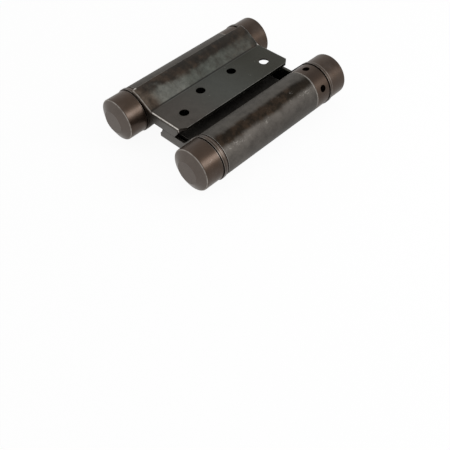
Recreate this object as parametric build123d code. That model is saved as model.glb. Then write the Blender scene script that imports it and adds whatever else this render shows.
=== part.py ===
"""Double action spring hinge, 75 mm leaves, closed, millimetres, +Z up.

X runs across the hinge, from the left barrel to the right one. Y runs along the barrels.
Z is square to the centre plate. The origin is midway between the barrels, at half their length.
The right half is the left half turned by 180 degrees about Y, so each piece is drawn once,
about its own barrel axis, and then placed on the left or turned over to the right.
"""
from build123d import *
import os
from math import acos, atan2, cos, degrees, hypot, radians, sin, sqrt, tan

# Layout
axis_distance = 51.0          # between the two barrel axes
overall_length = 100.0        # over the end caps
leaf_length = 75.0            # over the end flanges of a leaf
end_play = 0.15               # each running gap along a barrel axis

# Centre plate: one sheet, rolled into a barrel along both edges
plate_sheet = 1.5
barrel_diameter = 21.5
web_bend_radius = 1.5         # inside radius where the web turns up into the barrel
seam_angle = 5.0              # where the rolled edge stops below the web, degrees

# Leaves: pressed sheet, flat against the door, sloping up onto its own barrel
leaf_sheet = 1.5
wrap_clearance = 0.25         # between the barrel and the leaf that lies round it
wrap_end_angle = 83.0         # free edge of the leaf over the barrel, degrees from the web side
flat_height = 6.2             # outer face of the flat, above the mid-plane
flat_start = 13.5             # barrel axis to the bend between slope and flat
flat_edge = 34.7              # barrel axis to the outer edge of the leaf
bend_radius = 1.6             # inside radius of the bend between slope and flat
fold_radius = 0.2             # inside radius of the folds of the end flanges
corner_cut_x = 2.9            # cut corners of the flat, across
corner_cut_y = 3.8            # and along the hinge
flange_taper = 2.5            # how far an end flange narrows down to the mid-plane
flange_gap = 0.14             # between the flanges of the two leaves, closed
flange_neck = 15.2            # barrel axis to where the flange leaves the mid-plane
ear_step = 0.35               # how far the round end of a flange stands out past the barrel

# Screw holes of a leaf, countersunk on the face towards the centre plate
screw_hole_diameter = 4.8
countersink_diameter = 6.8
outer_hole_edge = 8.9         # outer pair, from the outer edge of the leaf
outer_hole_end = 10.2         # outer pair, from each end of the leaf
inner_hole_edge = 15.3        # inner pair, from the outer edge of the leaf
inner_hole_spacing = 21.0     # inner pair, along the hinge

# Spindle, with a shoulder behind each ear
shank_diameter = 7.0
thread_diameter = 6.0
thread_reach = 0.8            # share of the cap's straight inside that the thread takes
spindle_chamfer = 0.6
ear_clearance = 0.05          # radial, thread in its ear and cap nut
running_clearance = 0.05      # radial, shank in the collar and the anchor plug

# Thrust washer between the near ear and the barrel
washer_thickness = 1.1
washer_step = 0.15            # how far the washer lies inside the outside of the barrel
washer_edge = 0.3

# Tension collar between the far end of the barrel and the far ear
collar_length = 9.3
collar_edge = 0.5
spigot_length = 4.0
spigot_clearance = 0.1        # radial, spigot in the barrel
tommy_count = 5
tommy_diameter = 3.5
tommy_depth = 4.5
tommy_phase_left = 140.0      # turned place of the first tommy hole, degrees
tommy_phase_right = 206.0

# Anchor plug, pinned in the near end of the barrel
plug_length = 9.0
plug_clearance = 0.04         # radial, plug in the barrel
pin_diameter = 2.5
pin_clearance = 0.02          # radial
pin_length = 5.4
pin_from_end = 4.0            # pin axis to the near end of the barrel
pin_angle = 45.0              # under the leaf's slope, degrees
pin_sink = 0.1                # below the outside of the barrel

# Torsion spring round the spindle
wire_diameter = 2.0
spring_gap = 1.25             # radial, coil to the inside of the barrel
spring_pitch = 3.6
spring_end_gap = 0.6          # coil to the collar and to the anchor plug
tail_length = 4.0
tail_clearance = 0.15         # radial
boss_length = 2.4             # centring boss inside the coil's end
boss_clearance = 0.5          # radial, boss in the coil
sides_per_turn = 20

# Cap nuts and end caps
nut_reach = 0.53              # share of the cap's straight inside that the nut takes
nut_edge = 0.5
nut_spanner_diameter = 2.6
nut_spanner_depth = 0.6       # share of the nut's length
nut_spanner_place = 0.67      # share of the nut's radius
cap_step = 0.15               # how far the cap lies inside the outside of the barrel
cap_wall = 1.2
cap_gap = 0.1                 # rim of the cap to the flange
cap_cone = 2.5                # height of the shallow cone
cap_flat = 0.54               # share of the cap's radius that the flat end takes
cap_edge_radius = 0.7
cap_rim = 0.3
nut_clearance = 0.03          # radial, nut in the cap

# Worked out from the sizes above
barrel_radius = barrel_diameter / 2
barrel_bore = barrel_radius - plate_sheet
ear_radius = barrel_radius + ear_step
washer_radius = barrel_radius - washer_step
spring_diameter = 2 * (barrel_bore - spring_gap) - wire_diameter
cap_radius = barrel_radius - cap_step
leaf_end = leaf_length / 2
ear_inner = leaf_end - leaf_sheet
barrel_near = -(ear_inner - 2 * end_play - washer_thickness)
barrel_far = ear_inner - 2 * end_play - collar_length
collar_end = ear_inner - end_play
cap_start = leaf_end + cap_gap
cap_end = overall_length / 2
cap_shoulder = cap_end - cap_cone
cap_inside = cap_shoulder - cap_wall / 2
thread_length = thread_reach * (cap_inside - leaf_end)
nut_length = nut_reach * (cap_inside - leaf_end)
plug_end = barrel_near + plug_length
spigot_end = barrel_far + end_play - spigot_length
tail_radius = wire_diameter / 2 + tail_clearance
boss_radius = (spring_diameter - wire_diameter) / 2 - boss_clearance
bore_radius = shank_diameter / 2 + running_clearance
thread_hole = thread_diameter / 2 + ear_clearance


def polar(radius, angle, centre=(0.0, 0.0)):
    """Point at an angle in degrees from the web side, in the plane across the barrels."""
    return (centre[0] + radius * cos(radians(angle)), centre[1] + radius * sin(radians(angle)))


def prism(edges, low, high):
    """Closed outline in the plane across the barrels, carried from low to high along Y."""
    start = Plane.XZ.offset(-high)
    face = make_face([start * edge for edge in edges])
    return extrude(face, amount=high - low, dir=(0, -1, 0))


def turned(points):
    """Outline of radius and place along Y, turned about the barrel axis."""
    return revolve(make_face(Polyline(*points, close=True)), Axis.Y)


def rod(radius, low, high, x=0.0, z=0.0):
    """Round bar along Y."""
    return Pos(x, (low + high) / 2, z) * Rot(90, 0, 0) * Cylinder(radius, high - low)


def radial_rod(radius, inner, outer, angle, y):
    """Round bar square to the barrel axis, between two distances from it."""
    bar = Pos((inner + outer) / 2, 0, 0) * Rot(0, 90, 0) * Cylinder(radius, outer - inner)
    return Pos(0, y, 0) * Rot(0, -angle, 0) * bar


def centre_plate():
    """Web and both barrels, with the seam of each barrel beside the web."""
    middle = barrel_radius - plate_sheet / 2
    bend = web_bend_radius + plate_sheet / 2
    bend_x = sqrt((middle + bend) ** 2 - bend ** 2) - axis_distance / 2
    meet = degrees(atan2(bend, bend_x + axis_distance / 2))
    axis = (-axis_distance / 2, 0)
    half = plate_sheet / 2
    last = 360 - seam_angle
    outline = [
        Line((0, half), (bend_x, half)),
        CenterArc((bend_x, bend), web_bend_radius, 270, meet - 90),
        CenterArc(axis, barrel_radius, meet, last - meet),
        Line(polar(barrel_radius, last, axis), polar(barrel_bore, last, axis)),
        CenterArc(axis, barrel_bore, last, meet - last),
        CenterArc((bend_x, bend), web_bend_radius + plate_sheet, 180 + meet, 90 - meet),
        Line((bend_x, -half), (0, -half)),
        Line((0, -half), (0, half)),
    ]
    left = prism(outline, barrel_near, barrel_far)
    left -= Pos(-axis_distance / 2, 0, 0) * pin_hole()
    return left + Rot(0, 180, 0) * left


def leaf_outline():
    """Named points of the leaf's section: wrap end, tangent, slope end, flat start, both faces."""
    outer = barrel_radius + wrap_clearance + leaf_sheet
    reach = hypot(flat_start, flat_height)
    tangent = degrees(atan2(flat_height, flat_start) + acos(outer / reach))
    half_turn = (90 - tangent) / 2
    run = bend_radius * tan(radians(half_turn))
    slope_x = flat_start - run * sin(radians(tangent))
    slope_z = flat_height + run * cos(radians(tangent))
    centre = (flat_start + run, flat_height + bend_radius)
    return outer, tangent, (slope_x, slope_z), centre


def leaf_outer_edges(end_x):
    """Outer face of the leaf, from the free edge on the barrel to end_x on the flat."""
    outer, tangent, slope, centre = leaf_outline()
    return [
        CenterArc((0, 0), outer, wrap_end_angle, tangent - wrap_end_angle),
        Line(polar(outer, tangent), slope),
        CenterArc(centre, bend_radius, 180 + tangent, 90 - tangent),
        Line((centre[0], flat_height), (end_x, flat_height)),
    ]


def leaf_plate():
    """The leaf without its end flanges."""
    outer, tangent, slope, centre = leaf_outline()
    inner = outer - leaf_sheet
    under = flat_height - leaf_sheet
    back = polar(-leaf_sheet, tangent, slope)
    edges = leaf_outer_edges(flat_edge) + [
        Line((flat_edge, flat_height), (flat_edge, under)),
        Line((flat_edge, under), (centre[0], under)),
        CenterArc(centre, bend_radius + leaf_sheet, 270, tangent - 90),
        Line(back, polar(inner, tangent)),
        CenterArc((0, 0), inner, tangent, wrap_end_angle - tangent),
        Line(polar(inner, wrap_end_angle), polar(outer, wrap_end_angle)),
    ]
    return prism(edges, -leaf_end, leaf_end)


def flange(low, high):
    """End flange, from the leaf's outer face down to the mid-plane, without its ear."""
    foot = flange_gap / 2
    dip = degrees(acos(ear_radius / flange_neck))
    touch = polar(ear_radius, -dip)
    outer = leaf_outline()[0]
    edges = leaf_outer_edges(flat_edge) + [
        Line((flat_edge, flat_height), (flat_edge, foot)),
        Line((flat_edge, foot), (flange_neck, foot)),
        Line((flange_neck, foot), touch),
        Line(touch, (0, 0)),
        Line((0, 0), polar(outer, wrap_end_angle)),
    ]
    return prism(edges, low, high)


def corner_cut(side):
    """Waste at an outer corner: the cut across the flat and the slant down the flange."""
    tip = (flat_edge - corner_cut_x, side * leaf_end)
    reach = leaf_end + corner_cut_y
    across = Polyline(
        tip,
        (flat_edge, side * (leaf_end - corner_cut_y)),
        (flat_edge + corner_cut_x, side * (leaf_end - corner_cut_y)),
        (flat_edge + corner_cut_x, side * reach),
        (tip[0], side * reach),
        close=True,
    )
    cut = Pos(0, 0, -flat_height) * extrude(make_face(across), amount=3 * flat_height)
    top = flat_height - fold_radius - leaf_sheet
    top_x = flat_edge - corner_cut_x * (1 - leaf_sheet / corner_cut_y)
    foot_x = flat_edge - corner_cut_x - flange_taper
    slant = [
        Line((top_x, top), (foot_x, flange_gap / 2)),
        Line((foot_x, flange_gap / 2), (foot_x, -top)),
        Line((foot_x, -top), (flat_edge + 1, -top)),
        Line((flat_edge + 1, -top), (flat_edge + 1, top)),
        Line((flat_edge + 1, top), (top_x, top)),
    ]
    low, high = sorted((side * (ear_inner - 1), side * (leaf_end + 1)))
    return cut + prism(slant, low, high)


def is_fold(edge, place, outside):
    """An edge across the barrels at this place along Y, on the leaf's outer or inner face."""
    box = edge.bounding_box()
    if abs(box.min.Y - place) > 0.01 or abs(box.max.Y - place) > 0.01:
        return False
    outer, tangent, slope, centre = leaf_outline()
    depth = 0 if outside else leaf_sheet
    middle = edge.position_at(0.5)
    on_flat = abs(middle.Z - flat_height + depth) < 0.01 and middle.X > centre[0]
    on_wrap = abs(hypot(middle.X, middle.Z) - outer + depth) < 0.01 and middle.X > 0 and middle.Z > 0
    in_bend = abs(hypot(middle.X - centre[0], middle.Z - centre[1]) - bend_radius - depth) < 0.01
    along = middle.X * cos(radians(tangent)) + middle.Z * sin(radians(tangent))
    on_slope = abs(along - outer + depth) < 0.01 and middle.X > 0
    return on_flat or on_wrap or in_bend or on_slope


def screw_hole(x, y):
    """Plain hole with its countersink on the inner face of the flat."""
    under = flat_height - leaf_sheet
    sink = (countersink_diameter - screw_hole_diameter) / 2
    drill = Pos(x, y, flat_height - leaf_sheet / 2) * Cylinder(screw_hole_diameter / 2, 2 * leaf_sheet)
    cone = Cone(countersink_diameter / 2, screw_hole_diameter / 2, sink)
    return drill + Pos(x, y, under + sink / 2) * cone


def leaf():
    """One pressed leaf, about its own barrel axis."""
    flanges = flange(ear_inner, leaf_end) + flange(-leaf_end, -ear_inner)
    ears = rod(ear_radius, -leaf_end, leaf_end) - rod(2 * ear_radius, -ear_inner, ear_inner) - flanges
    solid = leaf_plate() + flanges
    for side in (-1, 1):
        inner = [e for e in solid.edges() if is_fold(e, side * ear_inner, False)]
        solid = fillet(inner, fold_radius)
        outer = [e for e in solid.edges() if is_fold(e, side * leaf_end, True)]
        solid = fillet(outer, fold_radius + leaf_sheet)
        solid -= corner_cut(side)
    solid += ears
    solid -= rod(thread_hole, -leaf_length, leaf_length)
    for edge, y in (
        (outer_hole_edge, leaf_end - outer_hole_end),
        (inner_hole_edge, inner_hole_spacing / 2),
    ):
        for side in (-1, 1):
            solid -= screw_hole(flat_edge - edge, side * y)
    return solid


def spindle():
    """Bar through the barrel, with a thinner threaded end through each ear."""
    shank = shank_diameter / 2
    end = thread_diameter / 2
    tip = leaf_end + thread_length
    bar = rod(shank, -ear_inner, ear_inner) + rod(end, -tip, tip)
    rims = bar.edges().filter_by(GeomType.CIRCLE).group_by(Axis.Y)
    return chamfer(rims[0] + rims[-1], spindle_chamfer)


def thrust_washer():
    """Ring between the near ear and the barrel."""
    start = -ear_inner + end_play
    ring = rod(washer_radius, start, start + washer_thickness)
    rims = ring.edges().filter_by(GeomType.CIRCLE)
    ring = fillet(rims, washer_edge)
    return ring - rod(bore_radius, -leaf_end, 0)


def tail_hole(low, high):
    """Hole for an end of the spring, along the barrel."""
    return rod(tail_radius, low, high, spring_diameter / 2)


def tension_collar(phase):
    """Collar that winds the spring, with tommy holes round it and a spigot in the barrel."""
    start = barrel_far + end_play
    head = rod(barrel_radius, start, collar_end)
    head = chamfer(head.edges().filter_by(GeomType.CIRCLE), collar_edge)
    body = head + rod(barrel_bore - spigot_clearance, spigot_end, start + collar_edge)
    body += rod(boss_radius, spigot_end - boss_length, spigot_end)
    body -= rod(bore_radius, spigot_end - 2 * boss_length, collar_end + 1)
    body -= tail_hole(spigot_end, spigot_end + tail_length)
    middle = (start + collar_end) / 2
    for step in range(tommy_count):
        angle = phase + 360 / tommy_count * step
        body -= radial_rod(tommy_diameter / 2, barrel_radius - tommy_depth, barrel_radius + 1, angle, middle)
    return body


def pin_hole():
    """Radial hole for the anchor pin, through the barrel and into the plug."""
    inner = barrel_radius - pin_sink - pin_length - pin_clearance
    place = barrel_near + pin_from_end
    return radial_rod(pin_diameter / 2 + pin_clearance, inner, barrel_radius + 1, pin_angle, place)


def anchor_plug():
    """Plug that holds the near end of the spring in the barrel."""
    body = rod(barrel_bore - plug_clearance, barrel_near, plug_end)
    body += rod(boss_radius, plug_end, plug_end + boss_length)
    body -= rod(bore_radius, barrel_near - 1, plug_end + 2 * boss_length)
    body -= tail_hole(plug_end - tail_length, plug_end)
    return body - pin_hole()


def anchor_pin():
    """Pin through the barrel wall into the anchor plug."""
    outer = barrel_radius - pin_sink
    return radial_rod(pin_diameter / 2, outer - pin_length, outer, pin_angle, barrel_near + pin_from_end)


def torsion_spring():
    """Left-hand coil, worked out turn by turn, with a straight tail at each end."""
    radius = spring_diameter / 2
    wire = wire_diameter / 2
    low = plug_end + spring_end_gap + wire
    high = spigot_end - spring_end_gap - wire
    turns = round((high - low) / spring_pitch)
    steps = turns * sides_per_turn
    points = []
    for step in range(steps + 1):
        angle = 360 * step / sides_per_turn
        x, z = polar(radius, angle)
        points.append((x, low + (high - low) * step / steps, z))
    path = Polyline(*points)
    section = Plane(path @ 0, z_dir=path % 0) * RegularPolygon(wire, 6)
    coil = sweep(section, path=path, transition=Transition.RIGHT)
    coil += rod(wire, low - wire - spring_end_gap - tail_length + wire, low, radius)
    coil += rod(wire, high, high + wire + spring_end_gap + tail_length - wire, radius)
    return coil


def cap_nut():
    """Round nut on the spindle's end, inside the cap, with two spanner holes."""
    radius = cap_radius - cap_wall - nut_clearance
    outer_face = leaf_end + nut_length
    body = rod(radius, leaf_end, outer_face)
    rims = body.edges().filter_by(GeomType.CIRCLE)
    body = chamfer(rims, nut_edge)
    body -= rod(thread_hole, leaf_end - 1, outer_face + 1)
    bottom = outer_face - nut_spanner_depth * nut_length
    for side in (-1, 1):
        body -= rod(nut_spanner_diameter / 2, bottom, outer_face + 1, side * nut_spanner_place * radius)
    return body


def end_cap():
    """Drawn cup with a shallow cone and a small flat at its end."""
    radius = cap_radius
    flat = cap_flat * cap_radius
    cup = turned([
        (0, cap_start),
        (radius - cap_rim, cap_start),
        (radius, cap_start + cap_rim),
        (radius, cap_shoulder),
        (flat, cap_end),
        (0, cap_end),
    ])
    rim = [e for e in cup.edges().filter_by(GeomType.CIRCLE) if abs(e.center().Y - cap_shoulder) < 0.01]
    cup = fillet(rim, cap_edge_radius)
    hollow = turned([
        (0, cap_start - 1),
        (radius - cap_wall, cap_start - 1),
        (radius - cap_wall, cap_inside),
        (flat, cap_end - cap_wall),
        (0, cap_end - cap_wall),
    ])
    return cup - hollow


def save(shape, name):
    """One STEP file for one named piece."""
    export_step(shape, f"parts/{name}.step")


def both_sides(shape, name, other=None):
    """The piece on the left barrel, and its twin turned over onto the right one."""
    save(Pos(-axis_distance / 2, 0, 0) * shape, f"{name}_left")
    save(Rot(0, 180, 0) * Pos(-axis_distance / 2, 0, 0) * (other or shape), f"{name}_right")


def both_ends(shape, name):
    """A piece at both ends of both spindles."""
    far_end = shape
    near_end = Rot(0, 0, 180) * shape
    for end, piece in (("far", far_end), ("near", near_end)):
        save(Pos(-axis_distance / 2, 0, 0) * piece, f"{name}_left_{end}")
        save(Rot(0, 180, 0) * Pos(-axis_distance / 2, 0, 0) * piece, f"{name}_right_{end}")


os.makedirs("parts", exist_ok=True)
save(centre_plate(), "centre_plate")
both_sides(leaf(), "leaf")
both_sides(spindle(), "spindle")
both_sides(thrust_washer(), "thrust_washer")
both_sides(tension_collar(tommy_phase_left), "tension_collar", tension_collar(tommy_phase_right))
both_sides(anchor_plug(), "anchor_plug")
both_sides(anchor_pin(), "anchor_pin")
both_sides(torsion_spring(), "torsion_spring")
both_ends(cap_nut(), "cap_nut")
both_ends(end_cap(), "end_cap")
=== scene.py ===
"""Looks of the double action spring hinge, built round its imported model."""

import math

import bpy
from mathutils import Matrix, Vector


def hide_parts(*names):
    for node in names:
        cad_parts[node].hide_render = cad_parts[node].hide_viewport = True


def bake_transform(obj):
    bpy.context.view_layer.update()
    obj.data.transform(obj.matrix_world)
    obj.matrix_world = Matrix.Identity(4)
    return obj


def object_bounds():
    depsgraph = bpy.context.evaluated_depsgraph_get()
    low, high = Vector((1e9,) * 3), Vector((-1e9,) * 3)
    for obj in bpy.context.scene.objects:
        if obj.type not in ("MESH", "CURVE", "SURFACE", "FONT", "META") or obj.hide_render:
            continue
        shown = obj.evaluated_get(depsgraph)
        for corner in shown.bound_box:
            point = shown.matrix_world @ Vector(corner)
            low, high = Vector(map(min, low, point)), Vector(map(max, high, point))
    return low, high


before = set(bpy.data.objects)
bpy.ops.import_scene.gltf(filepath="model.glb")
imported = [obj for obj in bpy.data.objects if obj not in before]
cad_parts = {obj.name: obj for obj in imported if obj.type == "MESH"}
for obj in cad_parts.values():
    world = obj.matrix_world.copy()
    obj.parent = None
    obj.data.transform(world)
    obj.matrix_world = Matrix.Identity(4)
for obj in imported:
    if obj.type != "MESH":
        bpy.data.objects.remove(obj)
cad_box = [list(corner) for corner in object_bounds()]

bl_info = {
    "name": "Double Action Spring Hinge",
    "version": (1, 0, 0),
    "blender": (4, 5, 0),
    "location": "View3D > Sidebar > Hinge",
    "description": "Finishes, springs and stage of a double action spring hinge",
    "category": "Object",
}

SIDES = ("left", "right")
ENDS = ("near", "far")
MILLIMETRE = 0.001

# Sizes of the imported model, in millimetres about a barrel axis
HALF_AXES = 25.5
BARREL_RADIUS = 10.75
BARREL_ENDS = (-34.6, 26.4)
WEB_HALF = 0.75
WEB_END = 14.6
LEAF_HALF = 37.5
LEAF_TOP = 6.2
LEAF_SHEET = 1.5
LEAF_EDGE = 34.7
FLAT_START = 13.5
FOLD_INSET = 0.5
WRAP_EDGE = (1.52, 12.41)
EAR_RADIUS = 11.1
CAP_RADIUS = 10.6
CAP_CONE = 47.5
BEVEL = 0.25

# Screw holes of a leaf, by x and distance from its middle, and how far stain reaches round them
HOLES = ((25.8, 27.3), (19.4, 10.5))
HALO = 4.2

# Rubbed edges along a leaf: their x and z, the line's width and how bare it is
LEAF_LINES = (
    (LEAF_EDGE, LEAF_TOP, 0.28, 0.35),
    (LEAF_EDGE, LEAF_TOP - LEAF_SHEET, 0.25, 0.2),
    (*WRAP_EDGE, 0.35, 0.2),
)

# Rubbed rims: radius, distance from the middle of the hinge, width of the line and how bare it is
EAR_RIMS = (
    (EAR_RADIUS, LEAF_HALF, 0.36, 0.25),
    (EAR_RADIUS, LEAF_HALF - LEAF_SHEET, 0.32, 0.25),
)
COLLAR_RIMS = (
    (BARREL_RADIUS - BEVEL, 26.8, 0.4, 0.45),
    (BARREL_RADIUS - BEVEL, 35.6, 0.4, 0.3),
)
WASHER_RIMS = (
    (CAP_RADIUS, 35.8, 0.35, 0.15),
    (CAP_RADIUS, 34.75, 0.35, 0.15),
)
CAP_RIMS = (
    (CAP_RADIUS, 37.75, 0.45, 0.25),
    (CAP_RADIUS - BEVEL, 47.6, 0.42, 0.38),
)

# Places along a leaf between which its finish changes
WARM_FLAT = (-30.0, 0.0)
DARK_FLAT = (-5.0, 27.0)
WARM_SLOPE = (0.0, 34.0)
PALE_SLOPE = (-8.0, -18.0)
BROWN_SLOPE = (-27.0, -33.5)
STAINED_FAR = (2.0, 30.0)
CLEAN_NEAR = (-33.0, -36.5)

# Bands along a barrel: the angle of their middle, and the angles off it between which they fade. The
# stain band also holds a painted dark reflection, the pale band is a painted reflection, and the turned
# band is painted shade
STAIN_AND_DARK_REFLECTION_BAND = (66, 2, 30)
PAINTED_REFLECTION_BAND = (104, 14, 38)
SCUFF_BAND = (42, 2, 12)
TURNED_SHADE_BAND = 64

# Camera fitted to the photograph: degrees, pixels of the picture, and metres
CAMERA_ANGLES = (46.738, 48.52, -2.991)
CAMERA_FOCAL = 645.256
CAMERA_AIM = (225.536, 96.141)
CAMERA_DEPTH = 0.315663
PICTURE_SIDE = 450.0
SENSOR_WIDTH = 36.0

# Large lamp: the way to it, its distance and its side in metres
LAMP_DIRECTION = (0.742, 0.398, 0.539)
LAMP_DISTANCE = 0.43
LAMP_SIDE = 0.16


class HingeColours(bpy.types.PropertyGroup):
    """Colours of the bronzed steel and of the bare steel inside."""

    def tint(name, description, value):
        return bpy.props.FloatVectorProperty(
            name=name,
            description=description,
            default=value,
            size=3,
            min=0.0,
            max=1.0,
            subtype="COLOR",
        )

    sheet: tint("Sheet", "Bronze on the flats of the leaves", (0.046, 0.048, 0.041))
    sheet_warm: tint("Warm sheet", "Browner bronze near the near end of a leaf", (0.052, 0.045, 0.038))
    sheet_dark: tint("Dark sheet", "Darker bronze near the far end of a leaf", (0.02, 0.0192, 0.0115))
    slope: tint("Slope", "Thin bronze on the slopes of the leaves", (0.074, 0.078, 0.067))
    slope_near: tint("Pale slope", "Thinner bronze towards a slope's near end", (0.112, 0.113, 0.1))
    slope_end: tint("Slope end", "Warm bronze at the near end of a slope", (0.074, 0.053, 0.038))
    barrel: tint("Barrels", "Bronze on the rolled barrels", (0.095, 0.086, 0.0765))
    # Painted reflection: the grey band along the top and underside of each barrel stands in for a
    # bright reflection; the end faces of the leaves take this colour too
    band: tint("Pale band", "Thin bronze along the top of a barrel", (0.084, 0.077, 0.068))
    stain: tint("Stain", "Dark stain on the sheet", (0.0165, 0.013, 0.0095))
    rust: tint("Rust", "Brown of the stain's lighter spots", (0.035, 0.024, 0.0163))
    ear: tint("Ears", "Warm bronze on the round ears of the leaves", (0.055, 0.04, 0.03))
    # Painted shade: dark painted into the leaf creases, over the web between the leaves, and a little
    # into the barrels toward their far end
    painted_shade: tint("Dirt", "Dark dirt in creases and on the hidden web", (0.0135, 0.013, 0.0115))
    turned: tint("Turned parts", "Brown of the caps, collars and washers", (0.045, 0.0275, 0.0175))
    # Painted shade: the darker band round the far caps and collars
    turned_shade: tint("Stained turned", "Brown stain on the far turned parts", (0.019, 0.0095, 0.0045))
    turned_grey: tint("Greyed turned parts", "Thin bronze on the turned parts", (0.095, 0.077, 0.0655))
    grazing: tint("Grazing", "Tint of what turned parts mirror near their outline", (0.76, 0.735, 0.71))
    worn: tint("Worn steel", "Bare steel where an edge is rubbed", (0.62, 0.585, 0.54))
    wire: tint("Spring wire", "Oiled spring wire", (0.09, 0.09, 0.095))
    zinc: tint("Zinc", "Plated nuts in the caps", (0.52, 0.53, 0.55))
    steel: tint("Drawn steel", "Spindles and pins", (0.38, 0.38, 0.39))


class HingeSprings(bpy.types.PropertyGroup):
    """Sizes of the torsion springs."""

    wire_radius: bpy.props.FloatProperty(
        name="Wire radius", description="Half the wire's thickness", default=0.00098, unit="LENGTH"
    )
    coil_radius: bpy.props.FloatProperty(
        name="Coil radius",
        description="Barrel axis to the middle of the wire",
        default=0.007,
        unit="LENGTH",
    )
    coil_low: bpy.props.FloatProperty(
        name="Coil start",
        description="Place along the barrel where the coil starts",
        default=-0.024,
        unit="LENGTH",
    )
    coil_high: bpy.props.FloatProperty(
        name="Coil end",
        description="Place along the barrel where the coil ends",
        default=0.02095,
        unit="LENGTH",
    )
    tail_low: bpy.props.FloatProperty(
        name="Near tail",
        description="Tip of the tail in the anchor plug",
        default=-0.0285,
        unit="LENGTH",
    )
    tail_high: bpy.props.FloatProperty(
        name="Far tail",
        description="Tip of the tail in the tension collar",
        default=0.02545,
        unit="LENGTH",
    )
    bend_radius: bpy.props.FloatProperty(
        name="Bend radius",
        description="Bend from the coil into each tail",
        default=0.0013,
        unit="LENGTH",
    )
    turns: bpy.props.IntProperty(name="Turns", description="Turns of the coil", default=12, min=1)
    segments: bpy.props.IntProperty(
        name="Segments", description="Steps in one turn of the coil", default=48, min=12
    )


class HingeStage(bpy.types.PropertyGroup):
    """Floor, lamp and even light."""

    floor_level: bpy.props.FloatProperty(
        name="Floor level",
        description="Height the hinge rests at",
        default=cad_box[0][2],
        unit="LENGTH",
    )
    floor_size: bpy.props.FloatProperty(
        name="Floor size", description="Side of the floor", default=6.0, unit="LENGTH"
    )
    floor_colour: bpy.props.FloatVectorProperty(
        name="Floor colour",
        description="Pale floor",
        default=(0.9, 0.9, 0.9),
        size=3,
        subtype="COLOR",
    )
    key_power: bpy.props.FloatProperty(
        name="Key lamp", description="Power of the large lamp", default=0.68, subtype="POWER"
    )
    world_level: bpy.props.FloatProperty(
        name="World level", description="Even light from all round", default=0.75
    )


def settings():
    """The three groups of settings on the scene."""
    scene = bpy.context.scene
    return scene.hinge_colours, scene.hinge_springs, scene.hinge_stage


# Node trees
def put(tree, kind, **values):
    """Adds a node and sets the named properties."""
    node = tree.nodes.new(kind)
    for name, value in values.items():
        setattr(node, name, value)
    return node


def feed(tree, socket, value):
    """Links a socket to the input, or sets the input's own value."""
    if isinstance(value, bpy.types.NodeSocket):
        tree.links.new(value, socket)
    else:
        socket.default_value = value


def calc(tree, operation, first, second=0.0):
    """Math node on one or two sockets or numbers."""
    node = put(tree, "ShaderNodeMath", operation=operation)
    for socket, value in zip(node.inputs, (first, second)):
        feed(tree, socket, value)
    return node.outputs[0]


def smooth(tree, value, low, high, start=0.0, end=1.0):
    """Smooth step of a value, from start at low to end at high."""
    node = put(tree, "ShaderNodeMapRange", interpolation_type="SMOOTHSTEP")
    for socket, entry in zip(node.inputs[:5], (value, low, high, start, end)):
        feed(tree, socket, entry)
    return node.outputs[0]


def blend(tree, factor, first, second):
    """Mix of two colours."""
    node = put(tree, "ShaderNodeMix", data_type="RGBA")
    feed(tree, node.inputs[0], factor)
    for socket, value in ((node.inputs[6], first), (node.inputs[7], second)):
        if not isinstance(value, bpy.types.NodeSocket):
            value = (*value[:3], 1.0)
        feed(tree, socket, value)
    return node.outputs[2]


def noise(tree, place, scale, detail, roughness, stretch=None, offset=0.0):
    """Noise value at a place in millimetres, scale in waves for each millimetre."""
    if stretch:
        mapping = put(tree, "ShaderNodeMapping")
        feed(tree, mapping.inputs["Vector"], place)
        mapping.inputs["Scale"].default_value = stretch
        place = mapping.outputs[0]
    node = put(tree, "ShaderNodeTexNoise", noise_dimensions="4D")
    feed(tree, node.inputs["Vector"], place)
    feed(tree, node.inputs["W"], offset)
    feed(tree, node.inputs["Scale"], scale)
    node.inputs["Detail"].default_value = detail
    node.inputs["Roughness"].default_value = roughness
    return node.outputs["Fac"]


def axes(tree, place):
    """X, Y and Z of a place."""
    node = put(tree, "ShaderNodeSeparateXYZ")
    feed(tree, node.inputs[0], place)
    return node.outputs[0], node.outputs[1], node.outputs[2]


def from_axis(tree, across, up):
    """Distance from an axis that runs along Y."""
    squares = calc(tree, "ADD", calc(tree, "POWER", across, 2.0), calc(tree, "POWER", up, 2.0))
    return calc(tree, "SQRT", squares)


def new_group(name, inputs, outputs):
    """Shader node group with named sockets; returns its tree, inputs and output node."""
    group = bpy.data.node_groups.new(name, "ShaderNodeTree")
    for label, kind, value in inputs:
        socket = group.interface.new_socket(name=label, in_out="INPUT", socket_type=kind)
        if value is not None:
            socket.default_value = value
    for label, kind in outputs:
        group.interface.new_socket(name=label, in_out="OUTPUT", socket_type=kind)
    start = group.nodes.new("NodeGroupInput")
    end = group.nodes.new("NodeGroupOutput")
    return group, start.outputs, end.inputs


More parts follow.
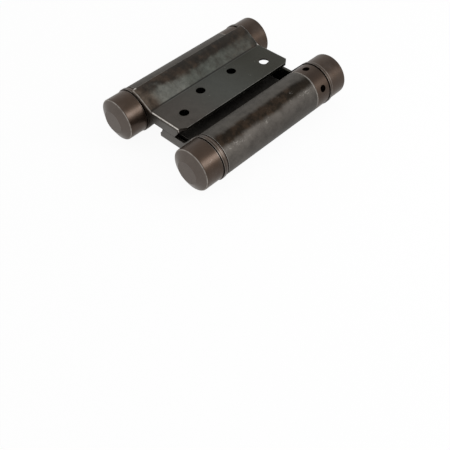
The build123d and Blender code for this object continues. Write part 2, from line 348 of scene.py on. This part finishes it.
def bronzed_surface_group():
    """Bronze over steel: mottled stain, pale scuffs and rubbed edges."""
    group, given, result = new_group(
        "bronzed_surface",
        (
            ("Place", "NodeSocketVector", None),
            ("Base", "NodeSocketColor", (0.05, 0.05, 0.045, 1.0)),
            ("Stain", "NodeSocketColor", (0.06, 0.045, 0.035, 1.0)),
            ("Rust", "NodeSocketColor", (0.05, 0.026, 0.014, 1.0)),
            ("Worn", "NodeSocketColor", (0.6, 0.58, 0.54, 1.0)),
            ("Stain Amount", "NodeSocketFloat", 0.5),
            ("Edge", "NodeSocketFloat", 0.0),
            ("Scuffs", "NodeSocketFloat", 0.3),
            ("Spread", "NodeSocketFloat", 1.0),
            ("Mottle", "NodeSocketFloat", 1.0),
            ("Gloss", "NodeSocketFloat", 0.35),
            ("Seed", "NodeSocketFloat", 0.0),
        ),
        (
            ("Color", "NodeSocketColor"),
            ("Roughness", "NodeSocketFloat"),
            ("Height", "NodeSocketFloat"),
        ),
    )
    place = given["Place"]
    seed = given["Seed"]

    # Clouds of stain, with browner spots in them
    broad = noise(group, place, 0.07, 3.0, 0.55, None, seed)
    middle = noise(group, place, 0.24, 6.0, 0.62, None, seed)
    fine = noise(group, place, 1.9, 4.0, 0.6, None, seed)
    broad = calc(group, "MULTIPLY", broad, 2.0)
    clouds = calc(group, "ADD", broad, calc(group, "MULTIPLY", middle, 1.8))
    clouds = calc(group, "MULTIPLY", calc(group, "SUBTRACT", clouds, 1.9), given["Spread"])
    amount = calc(group, "ADD", given["Stain Amount"], clouds)
    stain = smooth(group, amount, 0.05, 0.95)
    rusty = noise(group, place, 0.16, 6.0, 0.7, None, calc(group, "ADD", seed, 9.0))
    rust = blend(group, smooth(group, rusty, 0.44, 0.6), given["Stain"], given["Rust"])
    colour = blend(group, stain, given["Base"], rust)

    # Lighter and darker mottling over all of it
    cloud = noise(group, place, 0.26, 6.0, 0.66, None, calc(group, "ADD", seed, 2.0))
    shade = smooth(group, cloud, 0.3, 0.7, -0.16, 0.16)
    shade = calc(group, "ADD", shade, smooth(group, fine, 0.3, 0.7, -0.05, 0.05))
    shade = calc(group, "ADD", calc(group, "MULTIPLY", shade, given["Mottle"]), 1.0)
    mix = put(group, "ShaderNodeVectorMath", operation="SCALE")
    feed(group, mix.inputs[0], colour)
    feed(group, mix.inputs["Scale"], shade)
    colour = mix.outputs[0]

    # Scuffs, and edges rubbed bare in places
    patch = noise(group, place, 0.3, 2.0, 0.5, (1.0, 0.6, 1.0), calc(group, "ADD", seed, 7.0))
    scratch = noise(group, place, 1.9, 3.0, 0.7, (1.0, 0.7, 1.0), calc(group, "ADD", seed, 3.0))
    patch = calc(group, "MULTIPLY", patch, 0.45)
    wear = calc(group, "ADD", patch, calc(group, "MULTIPLY", scratch, 0.55))
    wear = calc(group, "ADD", wear, calc(group, "MULTIPLY", given["Scuffs"], 0.16))
    scuff = smooth(group, wear, 0.66, 0.78)
    broken = noise(group, place, 0.7, 3.0, 0.6, None, calc(group, "ADD", seed, 5.0))
    broken = smooth(group, broken, 0.32, 0.58, 0.35, 1.0)
    rubbed = calc(group, "MULTIPLY", given["Edge"], broken)
    bare = calc(group, "MAXIMUM", rubbed, calc(group, "MULTIPLY", scuff, 0.3))
    colour = blend(group, bare, colour, given["Worn"])
    group.links.new(colour, result["Color"])

    # Roughness and height
    uneven = calc(group, "MULTIPLY", calc(group, "SUBTRACT", cloud, 0.5), 0.2)
    grainy = calc(group, "MULTIPLY", calc(group, "SUBTRACT", fine, 0.5), 0.1)
    rough = calc(group, "ADD", calc(group, "ADD", given["Gloss"], uneven), grainy)
    rough = calc(group, "ADD", rough, calc(group, "MULTIPLY", scuff, 0.12))
    rough = calc(group, "SUBTRACT", rough, calc(group, "MULTIPLY", rubbed, 0.08))
    group.links.new(rough, result["Roughness"])
    height = calc(group, "ADD", calc(group, "MULTIPLY", fine, 0.5), cloud)
    height = calc(group, "ADD", height, calc(group, "MULTIPLY", scuff, -0.4))
    group.links.new(height, result["Height"])
    return group


def rubbed_line_group():
    """Mask along an edge that two coordinates place: 1 on the edge, 0 at its width."""
    group, given, result = new_group(
        "rubbed_line",
        (
            ("First", "NodeSocketFloat", 0.0),
            ("Second", "NodeSocketFloat", 0.0),
            ("At First", "NodeSocketFloat", 0.0),
            ("At Second", "NodeSocketFloat", 0.0),
            ("Width", "NodeSocketFloat", 0.3),
        ),
        (("Mask", "NodeSocketFloat"),),
    )
    across = calc(group, "SUBTRACT", given["First"], given["At First"])
    up = calc(group, "SUBTRACT", given["Second"], given["At Second"])
    gap = from_axis(group, across, up)
    group.links.new(smooth(group, gap, 0.0, given["Width"], 1.0, 0.0), result["Mask"])
    return group


def spun_lines_group():
    """Fine turning lines round a barrel axis."""
    group, given, result = new_group(
        "spun_lines",
        (
            ("Radius", "NodeSocketFloat", 0.0),
            ("Along", "NodeSocketFloat", 0.0),
            ("Seed", "NodeSocketFloat", 0.0),
        ),
        (("Lines", "NodeSocketFloat"),),
    )
    join = put(group, "ShaderNodeCombineXYZ")
    feed(group, join.inputs[0], given["Radius"])
    feed(group, join.inputs[1], given["Along"])
    lines = noise(group, join.outputs[0], 6.0, 2.0, 0.5, None, given["Seed"])
    group.links.new(lines, result["Lines"])
    return group


def barrel_place_group():
    """Object coordinates turned to millimetres about the piece's own barrel axis."""
    group, given, result = new_group(
        "barrel_place",
        (("Turn", "NodeSocketVector", (0.0, 0.0, 0.0)),),
        (
            ("Place", "NodeSocketVector"),
            ("X", "NodeSocketFloat"),
            ("Y", "NodeSocketFloat"),
            ("Z", "NodeSocketFloat"),
            ("Radius", "NodeSocketFloat"),
        ),
    )
    coordinates = put(group, "ShaderNodeTexCoord")
    mapping = put(group, "ShaderNodeMapping")
    group.links.new(coordinates.outputs["Object"], mapping.inputs["Vector"])
    group.links.new(given["Turn"], mapping.inputs["Rotation"])
    mapping.inputs["Scale"].default_value = (1.0 / MILLIMETRE,) * 3
    mapping.inputs["Location"].default_value = (HALF_AXES, 0.0, 0.0)
    place = mapping.outputs[0]
    x, y, z = axes(group, place)
    radius = from_axis(group, x, z)
    for name, value in (("Place", place), ("X", x), ("Y", y), ("Z", z), ("Radius", radius)):
        group.links.new(value, result[name])
    return group


def build_groups():
    """The shared effects, made once."""
    makers = {
        "bronzed_surface": bronzed_surface_group,
        "rubbed_line": rubbed_line_group,
        "spun_lines": spun_lines_group,
        "barrel_place": barrel_place_group,
    }
    for name, maker in makers.items():
        if name not in bpy.data.node_groups:
            maker()


def use(tree, name):
    """Places a shared group in a tree."""
    node = tree.nodes.new("ShaderNodeGroup")
    node.node_tree = bpy.data.node_groups[name]
    return node


class Finish:
    """One material being made: its tree, the piece's place and its shader."""

    def __init__(self, name, side):
        self.material = bpy.data.materials.new(name)
        self.material.use_nodes = True
        self.tree = self.material.node_tree
        self.shader = self.tree.nodes["Principled BSDF"]
        self.shader.inputs["Metallic"].default_value = 1.0
        where = use(self.tree, "barrel_place")
        where.inputs["Turn"].default_value = (0.0, math.pi if side == "right" else 0.0, 0.0)
        self.place, self.x, self.y, self.z, self.radius = where.outputs
        self.seed = {"left": 0.0, "right": 11.0, None: 4.0}[side]

    def times(self, first, second):
        """Product of two values."""
        return calc(self.tree, "MULTIPLY", first, second)

    def plus(self, first, second):
        """Sum of two values."""
        return calc(self.tree, "ADD", first, second)

    def minus(self, first, second):
        """Difference of two values."""
        return calc(self.tree, "SUBTRACT", first, second)

    def size(self, value):
        """Distance to zero, whichever the sign."""
        return calc(self.tree, "ABSOLUTE", value)

    def most(self, *masks):
        """The largest of some masks."""
        result = masks[0]
        for mask in masks[1:]:
            result = calc(self.tree, "MAXIMUM", result, mask)
        return result

    def step(self, value, low, high, start=0.0, end=1.0):
        """Smooth step of a value, from start at low to end at high."""
        return smooth(self.tree, value, low, high, start, end)

    def mix(self, factor, first, second):
        """Mix of two colours."""
        return blend(self.tree, factor, first, second)

    def line(self, first, second, at_first, at_second, width):
        """Mask on one straight or round edge."""
        node = use(self.tree, "rubbed_line")
        for socket, value in zip(node.inputs, (first, second, at_first, at_second, width)):
            feed(self.tree, socket, value)
        return node.outputs[0]

    def rims(self, rims):
        """Masks on round edges, each a radius, a distance along the axis, a width and a level."""
        along = self.size(self.y)
        return [
            self.times(self.line(self.radius, along, radius, place, width), level)
            for radius, place, width, level in rims
        ]

    def bronze(
        self,
        base,
        edge,
        amount,
        scuffs,
        gloss,
        bump=0.012,
        lines=0.0,
        mottle=1.0,
        spread=1.0,
        coat=0.2,
        stain=None,
        rust=None,
    ):
        """Joins the bronzed surface to the shader."""
        tree = self.tree
        colours = bpy.context.scene.hinge_colours
        surface = use(tree, "bronzed_surface")
        feed(tree, surface.inputs["Place"], self.place)
        feed(tree, surface.inputs["Base"], base)
        surface.inputs["Stain"].default_value = (*(stain or colours.stain), 1.0)
        surface.inputs["Rust"].default_value = (*(rust or colours.rust), 1.0)
        surface.inputs["Worn"].default_value = (*colours.worn, 1.0)
        feed(tree, surface.inputs["Stain Amount"], amount)
        feed(tree, surface.inputs["Edge"], edge)
        feed(tree, surface.inputs["Scuffs"], scuffs)
        feed(tree, surface.inputs["Mottle"], mottle)
        surface.inputs["Spread"].default_value = spread
        surface.inputs["Gloss"].default_value = gloss
        surface.inputs["Seed"].default_value = self.seed
        tree.links.new(surface.outputs["Color"], self.shader.inputs["Base Color"])
        rough = surface.outputs["Roughness"]
        height = surface.outputs["Height"]
        if lines:
            spun = use(tree, "spun_lines")
            feed(tree, spun.inputs["Radius"], self.radius)
            feed(tree, spun.inputs["Along"], self.y)
            spun.inputs["Seed"].default_value = self.seed
            height = self.plus(height, self.times(spun.outputs[0], lines))
            rough = self.plus(rough, self.times(self.minus(spun.outputs[0], 0.5), 0.12))
        tree.links.new(rough, self.shader.inputs["Roughness"])
        self.shader.inputs["Coat Weight"].default_value = coat
        self.shader.inputs["Coat Roughness"].default_value = 0.3
        self.dent(height, 0.35, bump * MILLIMETRE)
        return self.material

    def dent(self, height, strength, distance):
        """Joins a fine relief to the shader."""
        node = put(self.tree, "ShaderNodeBump")
        node.inputs["Strength"].default_value = strength
        node.inputs["Distance"].default_value = distance
        self.tree.links.new(height, node.inputs["Height"])
        self.tree.links.new(node.outputs[0], self.shader.inputs["Normal"])


def dress(node, material):
    """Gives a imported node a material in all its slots."""
    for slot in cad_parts[node].material_slots:
        slot.material = material


def leaf_finish(side):
    """Pressed leaf: dark flat, greyer slope, brown near the wrap, bright cut edges, end folds bright
    with painted highlight and wear, and painted shade in the bend between flat and slope.
    """
    colours = bpy.context.scene.hinge_colours
    finish = Finish(f"bronzed_leaf_{side}", side)
    along = finish.size(finish.y)
    flat = finish.step(finish.x, FLAT_START, FLAT_START + 1.2)
    sloped = finish.minus(1.0, flat)
    ear = finish.step(finish.radius, EAR_RADIUS + 0.2, EAR_RADIUS + 0.7, 1.0, 0.0)
    ear = finish.times(ear, finish.step(along, LEAF_HALF - LEAF_SHEET - 0.3, LEAF_HALF - LEAF_SHEET))

    # Rubbed along the end folds, the cut edges and the ears, and at two corners; the bright end folds
    # are painted highlight as well as wear
    off_fold = finish.size(finish.minus(along, LEAF_HALF - FOLD_INSET))
    fold_highlight_and_wear = finish.step(off_fold, 0.08, 0.3, 1.0, 0.0)
    fold_highlight_and_wear = finish.times(fold_highlight_and_wear, finish.step(finish.radius, EAR_RADIUS + 0.1, EAR_RADIUS + 0.4))
    fold_highlight_and_wear = finish.times(fold_highlight_and_wear, finish.step(finish.z, 3.9, 4.5))
    edges = [finish.times(fold_highlight_and_wear, finish.plus(finish.times(flat, 0.65), 0.35)), *finish.rims(EAR_RIMS)]
    for x, z, width, level in LEAF_LINES:
        edges.append(finish.times(finish.line(finish.x, finish.z, x, z, width), level))
    near_tip = finish.step(finish.y, 2.2 - LEAF_HALF, 2.7 - LEAF_HALF, 1.0, 0.0)
    edges.append(finish.times(finish.line(finish.x, finish.z, *WRAP_EDGE, 0.9), near_tip))
    far_tip = finish.step(finish.y, LEAF_HALF - 1.9, LEAF_HALF - 1.2, 0.0, 0.8)
    edges.append(finish.times(finish.line(finish.x, finish.z, FLAT_START, LEAF_TOP, 1.2), far_tip))

    # Stained over the wrap, at the ends and round the holes
    turn = calc(finish.tree, "ARCTAN2", finish.z, finish.x)
    wrap = finish.step(turn, math.radians(44), math.radians(66), 0.22, 0.97)
    far = finish.step(finish.y, *STAINED_FAR, 0.0, 0.16)
    wrap = finish.times(finish.plus(wrap, far), sloped)
    ends = finish.times(finish.step(along, LEAF_HALF - 9.5, LEAF_HALF - 3.0, 0.0, 0.62), sloped)
    holes = finish.most(*(finish.line(finish.x, along, *hole, HALO) for hole in HOLES))
    amount = finish.most(wrap, ends, finish.times(holes, 0.85))
    amount = finish.minus(amount, finish.times(ear, 0.5))
    clean = finish.times(finish.step(finish.y, *CLEAN_NEAR, 0.0, 0.4), sloped)
    amount = finish.minus(amount, clean)

    # Colours of the flat, the slope, the painted shade along the bend between them, the end faces and
    # the ears
    base = finish.mix(finish.step(finish.y, *WARM_FLAT), colours.sheet_warm, colours.sheet)
    base = finish.mix(finish.step(finish.y, *DARK_FLAT), base, colours.sheet_dark)
    warm = finish.step(finish.y, *WARM_SLOPE, 0.0, 0.4)
    slope = finish.mix(warm, colours.slope, colours.sheet_warm)
    slope = finish.mix(finish.step(finish.y, *PALE_SLOPE), slope, colours.slope_near)
    slope = finish.mix(finish.step(finish.y, *BROWN_SLOPE, 0.0, 0.9), slope, colours.slope_end)
    base = finish.mix(sloped, base, slope)
    crease_shade = finish.line(finish.x, finish.z, FLAT_START, LEAF_TOP, 0.8)
    base = finish.mix(crease_shade, base, colours.painted_shade)
    face = finish.step(along, LEAF_HALF - 0.25, LEAF_HALF - 0.1)
    face = finish.times(face, finish.step(finish.z, LEAF_TOP - 1.0, LEAF_TOP - 1.5))
    base = finish.mix(face, base, colours.band)
    base = finish.mix(ear, base, colours.ear)
    mottle = finish.plus(sloped, 0.6)
    return finish.bronze(base, finish.most(*edges), amount, 0.25, 0.42, mottle=mottle, spread=0.8)


def plate_finish():
    """Centre plate: rolled barrels with mottled brown stain holding a painted dark reflection, a grey
    band of painted reflection, scuffs along them, bright rims, and the web painted dark as shade.
    """
    colours = bpy.context.scene.hinge_colours
    finish = Finish("bronzed_centre_plate", None)
    tree = finish.tree
    coordinates = put(tree, "ShaderNodeTexCoord")
    mapping = put(tree, "ShaderNodeMapping")
    tree.links.new(coordinates.outputs["Object"], mapping.inputs["Vector"])
    mapping.inputs["Scale"].default_value = (1.0 / MILLIMETRE,) * 3
    finish.place = mapping.outputs[0]
    x, y, z = axes(tree, finish.place)
    from_middle = finish.size(x)
    across = finish.minus(from_middle, HALF_AXES)
    radius = from_axis(tree, across, z)
    rims = []
    for end in BARREL_ENDS:
        rims.append(finish.times(finish.line(radius, y, BARREL_RADIUS, end, 0.3), 0.4))
        rims.append(finish.times(finish.line(z, y, WEB_HALF, end, 0.3), 0.3))
    turn = calc(tree, "ARCTAN2", z, finish.times(calc(tree, "SIGN", x), across))

    def round_barrel(band, start, end):
        """From start to end away from a band's angle, the same on top and underneath."""
        middle, low, high = (math.radians(angle) for angle in band)
        away = finish.size(calc(tree, "SINE", finish.minus(turn, middle)))
        return finish.step(away, math.sin(low), math.sin(high), start, end)

    # Stain, with a painted dark reflection along its band, less of it towards both ends
    amount = round_barrel(STAIN_AND_DARK_REFLECTION_BAND, 1.18, 0.0)
    amount = finish.minus(amount, finish.step(y, -8.0, -32.0, 0.0, 0.15))
    amount = finish.minus(amount, finish.step(y, 4.0, 22.0, 0.0, 0.22))

    # Barrels that darken a little from their near end, with a grey band on top and underneath painted
    # as a reflection, and the web painted dark as shade
    base = finish.mix(finish.step(y, -25.0, -5.0, 0.0, 0.2), colours.barrel, colours.painted_shade)
    base = finish.mix(round_barrel(PAINTED_REFLECTION_BAND, 1.0, 0.0), base, colours.band)
    # Painted shade: the web between the barrels is painted dark for the shade between the leaves
    web = finish.step(from_middle, WEB_END, WEB_END + 1.0, 0.7, 0.0)
    base = finish.mix(web, base, colours.painted_shade)
    scuffs = finish.plus(round_barrel(SCUFF_BAND, 0.42, 0.0), 0.28)
    return finish.bronze(
        base, finish.most(*rims), amount, scuffs, 0.6, mottle=1.4, spread=0.6, coat=0.0
    )


def turned_finish(name, side, rims, gloss, amount=0.2, shaded=0.0):
    """Turned piece: brown, with turning lines, rubbed rims, paler end faces and painted shade in a band
    round the far parts.
    """
    colours = bpy.context.scene.hinge_colours
    finish = Finish(f"bronzed_{name}_{side}", side)
    end_face = finish.step(finish.size(finish.y), CAP_CONE - 0.1, CAP_CONE + 0.3, 0.0, 0.85)
    # Painted shade: a darker band at one angle about the axis, on the far parts only
    turn = calc(finish.tree, "ARCTAN2", finish.z, finish.x)
    away = finish.minus(turn, math.radians(TURNED_SHADE_BAND))
    away = finish.size(calc(finish.tree, "SINE", away))
    at_far_end = finish.step(finish.y, 0.0, 20.0)
    dark = finish.times(finish.step(away, 0.1, 0.5, shaded, 0.0), at_far_end)
    finish.shader.inputs["Specular Tint"].default_value = (*colours.grazing, 1.0)
    return finish.bronze(
        finish.mix(dark, colours.turned, colours.turned_shade),
        finish.most(*finish.rims(rims)),
        finish.plus(end_face, amount),
        0.2,
        gloss,
        bump=0.008,
        lines=0.3,
        mottle=0.5,
        spread=0.4,
        coat=0.35,
        stain=colours.turned_grey,
        rust=colours.turned_grey,
    )


def plain_steel(name, colour, roughness):
    """Bare or plated steel inside the hinge."""
    finish = Finish(name, "left")
    tree = finish.tree
    cloud = noise(tree, finish.place, 0.6, 4.0, 0.6)
    grain = noise(tree, finish.place, 5.0, 2.0, 0.5, (1.0, 0.2, 1.0))
    shade = finish.step(cloud, 0.3, 0.7, 0.82, 1.1)
    shade = finish.times(shade, finish.step(grain, 0.3, 0.7, 0.94, 1.05))
    scale = put(tree, "ShaderNodeVectorMath", operation="SCALE")
    scale.inputs[0].default_value = colour
    tree.links.new(shade, scale.inputs["Scale"])
    tree.links.new(scale.outputs[0], finish.shader.inputs["Base Color"])
    rough = finish.step(cloud, 0.3, 0.7, roughness - 0.06, roughness + 0.08)
    tree.links.new(rough, finish.shader.inputs["Roughness"])
    finish.dent(grain, 0.3, 0.01 * MILLIMETRE)
    return finish.material


class HINGE_OT_finish_sheet(bpy.types.Operator):
    """Finishes the centre plate and both leaves."""

    bl_idname = "hinge.finish_sheet"
    bl_label = "Finish Sheet Parts"

    def execute(self, context):
        build_groups()
        dress("centre_plate", plate_finish())
        for side in SIDES:
            dress(f"leaf_{side}", leaf_finish(side))
        return {"FINISHED"}


class HINGE_OT_finish_turned(bpy.types.Operator):
    """Finishes the end caps, the tension collars and the thrust washers."""

    bl_idname = "hinge.finish_turned"
    bl_label = "Finish Turned Parts"

    def execute(self, context):
        build_groups()
        for side in SIDES:
            collar = turned_finish("collar", side, COLLAR_RIMS, 0.45, amount=0.0, shaded=0.65)
            dress(f"tension_collar_{side}", collar)
            dress(f"thrust_washer_{side}", turned_finish("washer", side, WASHER_RIMS, 0.42))
            cap = turned_finish("cap", side, CAP_RIMS, 0.39, shaded=0.65)
            for end in ENDS:
                dress(f"end_cap_{side}_{end}", cap)
        return {"FINISHED"}


class HINGE_OT_finish_inside(bpy.types.Operator):
    """Finishes the spindles, nuts, plugs and pins."""

    bl_idname = "hinge.finish_inside"
    bl_label = "Finish Inside Parts"

    def execute(self, context):
        build_groups()
        colours = context.scene.hinge_colours
        steel = plain_steel("drawn_steel", colours.steel, 0.3)
        zinc = plain_steel("zinc_plate", colours.zinc, 0.35)
        for side in SIDES:
            for name in ("spindle", "anchor_plug", "anchor_pin"):
                dress(f"{name}_{side}", steel)
            for end in ENDS:
                dress(f"cap_nut_{side}_{end}", zinc)
        return {"FINISHED"}


def pick(piece, wanted):
    """In edit mode, selects just the vertices that a test on their place accepts."""
    bpy.ops.mesh.select_all(action="DESELECT")
    bpy.ops.object.mode_set(mode="OBJECT")
    for vertex in piece.data.vertices:
        vertex.select = wanted(vertex.co)
    bpy.ops.object.mode_set(mode="EDIT")


def wind_spring(sizes, side):
    """Coil wound about Z with a bent tail at each end, then laid in its barrel."""
    bpy.ops.object.select_all(action="DESELECT")
    start = math.asin(sizes.bend_radius / sizes.coil_radius)
    height = sizes.coil_high - sizes.coil_low
    lead = height / sizes.turns * start / math.tau
    reach = sizes.coil_radius * math.cos(start)
    bpy.ops.mesh.primitive_circle_add(
        vertices=16,
        radius=sizes.wire_radius,
        location=(reach, -sizes.bend_radius, sizes.coil_low + lead),
        rotation=(math.pi / 2, 0.0, -start),
    )
    piece = bpy.context.active_object
    piece.name = f"coil_spring_{side}"
    bpy.ops.object.transform_apply()
    screw = piece.modifiers.new("coil", "SCREW")
    screw.angle = -(math.tau * sizes.turns - 2 * start)
    screw.screw_offset = height - 2 * lead
    screw.steps = sizes.segments * sizes.turns
    screw.render_steps = screw.steps
    bpy.ops.object.modifier_apply(modifier=screw.name)
    bpy.ops.object.mode_set(mode="EDIT")
    bpy.ops.mesh.select_mode(type="VERT")
    ends = (
        (-1, sizes.coil_low + lead, sizes.tail_low),
        (1, sizes.coil_high - lead, sizes.tail_high),
    )
    for way, level, tip in ends:
        middle = Vector((reach, way * sizes.bend_radius, level))
        pick(piece, lambda place: (place - middle).length < 1.02 * sizes.wire_radius)
        bend = (reach, way * sizes.bend_radius, level + way * sizes.bend_radius)
        axis = (math.cos(start / 2), way * math.sin(start / 2), 0.0)
        bpy.ops.mesh.spin(steps=8, angle=math.pi / 2, center=bend, axis=axis)
        rest = tip - level - way * sizes.bend_radius
        bpy.ops.mesh.extrude_region_move(TRANSFORM_OT_translate={"value": (0.0, 0.0, rest)})
        bpy.ops.transform.resize(value=(1.0, 1.0, 0.0), center_override=(0.0, 0.0, tip))
        bpy.ops.mesh.edge_face_add()
    bpy.ops.mesh.select_all(action="SELECT")
    bpy.ops.mesh.remove_doubles(threshold=0.000001)
    bpy.ops.mesh.normals_make_consistent(inside=False)
    bpy.ops.object.mode_set(mode="OBJECT")
    over = Matrix.Rotation(math.pi if side == "right" else 0.0, 4, "Y")
    aside = Matrix.Translation((-HALF_AXES * MILLIMETRE, 0.0, 0.0))
    piece.matrix_world = over @ aside @ Matrix.Rotation(-math.pi / 2, 4, "X")
    bpy.ops.object.transform_apply()
    bpy.ops.object.shade_smooth_by_angle(angle=math.radians(40))
    return piece


class HINGE_OT_wind_springs(bpy.types.Operator):
    """Winds a smooth torsion spring for each barrel."""

    bl_idname = "hinge.wind_springs"
    bl_label = "Wind Springs"

    def execute(self, context):
        build_groups()
        wire = plain_steel("oiled_wire", context.scene.hinge_colours.wire, 0.3)
        sizes = context.scene.hinge_springs
        for side, axis in zip(SIDES, (-HALF_AXES * MILLIMETRE, HALF_AXES * MILLIMETRE)):
            piece = wind_spring(sizes, side)
            piece.data.materials.append(wire)
            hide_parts(f"torsion_spring_{side}")
            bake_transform(piece)
        return {"FINISHED"}


class HINGE_OT_set_stage(bpy.types.Operator):
    """Sets the floor, the lamp, the world and the camera."""

    bl_idname = "hinge.set_stage"
    bl_label = "Set Stage"

    def execute(self, context):
        stage = context.scene.hinge_stage
        bpy.ops.object.select_all(action="DESELECT")
        level = (0.0, 0.0, stage.floor_level)
        bpy.ops.mesh.primitive_plane_add(size=stage.floor_size, location=level)
        floor = context.active_object
        floor.name = "floor"
        floor.data.materials.append(floor_material(stage))
        light_world(stage)
        add_lamp(stage.key_power)
        set_camera()
        context.scene.view_settings.view_transform = "Standard"
        return {"FINISHED"}


def seen_white(tree):
    """1 for camera, glossy and transmission rays."""
    path = put(tree, "ShaderNodeLightPath")
    total = calc(tree, "ADD", path.outputs["Is Camera Ray"], path.outputs["Is Glossy Ray"])
    node = put(tree, "ShaderNodeMath", operation="ADD", use_clamp=True)
    tree.links.new(total, node.inputs[0])
    tree.links.new(path.outputs["Is Transmission Ray"], node.inputs[1])
    return node.outputs[0]


def floor_material(stage):
    """Pale matt floor that fades to the white background where it is seen."""
    material = bpy.data.materials.new("pale_floor")
    material.use_nodes = True
    tree = material.node_tree
    tree.nodes.clear()
    matt = put(tree, "ShaderNodeBsdfDiffuse")
    matt.inputs["Color"].default_value = (*stage.floor_colour, 1.0)
    glow = put(tree, "ShaderNodeEmission")
    mixed = put(tree, "ShaderNodeMixShader")
    share = calc(tree, "MULTIPLY", seen_white(tree), 0.94)
    tree.links.new(share, mixed.inputs[0])
    tree.links.new(matt.outputs[0], mixed.inputs[1])
    tree.links.new(glow.outputs[0], mixed.inputs[2])
    output = put(tree, "ShaderNodeOutputMaterial")
    tree.links.new(mixed.outputs[0], output.inputs["Surface"])
    return material


def light_world(stage):
    """Even light for the surfaces, white where the background is seen."""
    world = bpy.data.worlds.new("studio")
    bpy.context.scene.world = world
    world.use_nodes = True
    tree = world.node_tree
    shade = tree.nodes["Background"]
    shade.inputs["Color"].default_value = (1.0, 1.0, 1.0, 1.0)
    level = put(tree, "ShaderNodeMapRange")
    tree.links.new(seen_white(tree), level.inputs["Value"])
    level.inputs["To Min"].default_value = stage.world_level
    level.inputs["To Max"].default_value = 1.0
    tree.links.new(level.outputs[0], shade.inputs["Strength"])


def add_lamp(power):
    """Square soft lamp, aimed at the hinge."""
    toward = Vector(LAMP_DIRECTION).normalized()
    bpy.ops.object.light_add(type="AREA", location=toward * LAMP_DISTANCE)
    lamp = bpy.context.active_object
    lamp.name = "key_lamp"
    lamp.data.size = LAMP_SIDE
    lamp.data.energy = power
    lamp.rotation_euler = toward.to_track_quat("Z", "Y").to_euler()


def set_camera():
    """Camera at the photograph's angle."""
    azimuth, elevation, roll = (math.radians(angle) for angle in CAMERA_ANGLES)
    back = Vector((
        math.sin(azimuth) * math.cos(elevation),
        -math.cos(azimuth) * math.cos(elevation),
        math.sin(elevation),
    ))
    level = back.cross(Vector((0.0, 0.0, 1.0))) * -1.0
    level.normalize()
    upright = back.cross(level)
    right = math.cos(roll) * level + math.sin(roll) * upright
    up = math.cos(roll) * upright - math.sin(roll) * level
    across, down = ((aim - PICTURE_SIDE / 2.0) / CAMERA_FOCAL * CAMERA_DEPTH for aim in CAMERA_AIM)
    place = back * CAMERA_DEPTH - right * across + up * down
    bpy.ops.object.camera_add()
    camera = bpy.context.active_object
    turn = Matrix((right, up, back)).transposed()
    camera.matrix_world = Matrix.Translation(place) @ turn.to_4x4()
    camera.data.sensor_width = SENSOR_WIDTH
    camera.data.lens = SENSOR_WIDTH * CAMERA_FOCAL / PICTURE_SIDE
    camera.data.clip_start = 0.01
    bpy.context.scene.camera = camera


OPERATORS = (
    HINGE_OT_finish_sheet,
    HINGE_OT_finish_turned,
    HINGE_OT_finish_inside,
    HINGE_OT_wind_springs,
    HINGE_OT_set_stage,
)


class HINGE_PT_panel(bpy.types.Panel):
    """Buttons and settings of the hinge."""

    bl_label = "Spring Hinge"
    bl_idname = "HINGE_PT_panel"
    bl_space_type = "VIEW_3D"
    bl_region_type = "UI"
    bl_category = "Hinge"

    def draw(self, context):
        for operator in OPERATORS:
            self.layout.operator(operator.bl_idname)
        for group in settings():
            for name in group.bl_rna.properties.keys():
                if name not in ("rna_type", "name"):
                    self.layout.prop(group, name)


CLASSES = (HingeColours, HingeSprings, HingeStage, *OPERATORS, HINGE_PT_panel)


def register():
    """Adds the classes and the settings."""
    for entry in CLASSES:
        bpy.utils.register_class(entry)
    bpy.types.Scene.hinge_colours = bpy.props.PointerProperty(type=HingeColours)
    bpy.types.Scene.hinge_springs = bpy.props.PointerProperty(type=HingeSprings)
    bpy.types.Scene.hinge_stage = bpy.props.PointerProperty(type=HingeStage)


def unregister():
    """Takes them away again."""
    for name in ("hinge_colours", "hinge_springs", "hinge_stage"):
        delattr(bpy.types.Scene, name)
    for entry in reversed(CLASSES):
        bpy.utils.unregister_class(entry)


def main():
    """Builds the scene."""
    register()
    bpy.ops.hinge.finish_sheet()
    bpy.ops.hinge.finish_turned()
    bpy.ops.hinge.finish_inside()
    bpy.ops.hinge.wind_springs()
    bpy.ops.hinge.set_stage()


if __name__ == "__main__":
    main()
